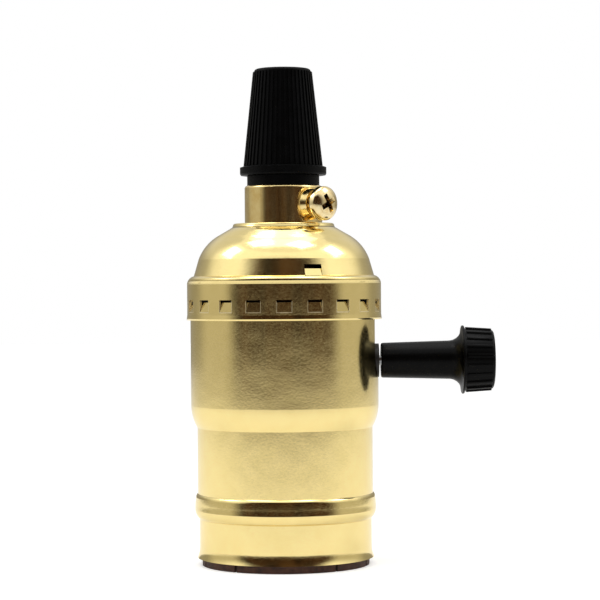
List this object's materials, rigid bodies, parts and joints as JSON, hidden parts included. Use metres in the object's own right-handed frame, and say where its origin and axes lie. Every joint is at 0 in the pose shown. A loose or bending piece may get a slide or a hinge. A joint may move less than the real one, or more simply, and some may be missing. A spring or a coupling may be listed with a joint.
{
  "type": "lamp holder",
  "caption": "Screw-in lamp holder with a turn-key switch: stepped sheet shell under a domed push-on cap, side knob, neck with clamp screw, and a tapered cable grip on top.",
  "frame": {"origin": "on the holder's axis in the plane of the open lamp mouth, at the liner's lower rim", "axes": "+Z along the axis towards the cable grip, +X along the switch key towards its knob"},
  "size_m": [0.0584, 0.037, 0.0939],
  "materials": {
    "gold_sheet": "gold-anodised drawn sheet, satin",
    "gold_neck": "polished and gilt",
    "brass_screw": "polished brass",
    "brown_fibre": "vulcanised fibre",
    "black_nylon": "moulded black nylon",
    "black_moulding": "moulded black thermoset",
    "plated_steel": "zinc-plated steel",
    "spring_steel": "spring steel",
    "phenolic": "moulded brown phenolic",
    "contact_copper": "phosphor bronze strip",
    "rivet_brass": "brass rivet",
    "screw_shell_brass": "rolled brass sheet",
    "terminal_brass": "brass strip",
    "nickel_screw": "nickel-plated brass"
  },
  "bodies": {
    "holder": {"shell": "gold_sheet", "cap": "gold_sheet", "neck_bushing": "gold_neck", "shell_liner": "brown_fibre", "base_disc": "brown_fibre", "switch_cover": "brown_fibre", "cord_grip_stem": "black_nylon", "detent_spring": "spring_steel", "switch_body": "phenolic", "switched_contact": "contact_copper", "body_rivets": "rivet_brass", "screw_shell_rivets": "rivet_brass", "centre_rivet": "rivet_brass", "screw_shell": "screw_shell_brass", "centre_contact": "contact_copper", "live_terminal": "terminal_brass", "neutral_strap": "terminal_brass", "terminal_screw_neutral": "nickel_screw", "terminal_screw_live": "brass_screw"},
    "key": {"knob": "black_moulding", "switch_spindle": "plated_steel", "spindle_clip": "spring_steel", "switch_rotor": "phenolic", "rotor_contact": "contact_copper"},
    "grip_nut": {"cord_grip_nut": "black_nylon"},
    "clamp_screw": {"set_screw": "brass_screw"}
  },
  "joints": [
    {"name": "key_turn", "type": "hinge", "parent": "holder", "child": "key", "pos_m": [0.0296, 0, 0.0385], "axis": [1, 0, 0], "continuous": true, "deforming": ["detent_spring"]},
    {"name": "grip_nut_turn", "type": "hinge", "parent": "holder", "child": "grip_nut", "pos_m": [0, 0, 0.0838], "axis": [0, 0, 1], "range_deg": [-90, 1440]},
    {"name": "clamp_screw_turn", "type": "hinge", "parent": "holder", "child": "clamp_screw", "pos_m": [0.00601, -0.00601, 0.0681], "axis": [0.7071, -0.7071, 0], "range_deg": [-90, 1440]}
  ]
}
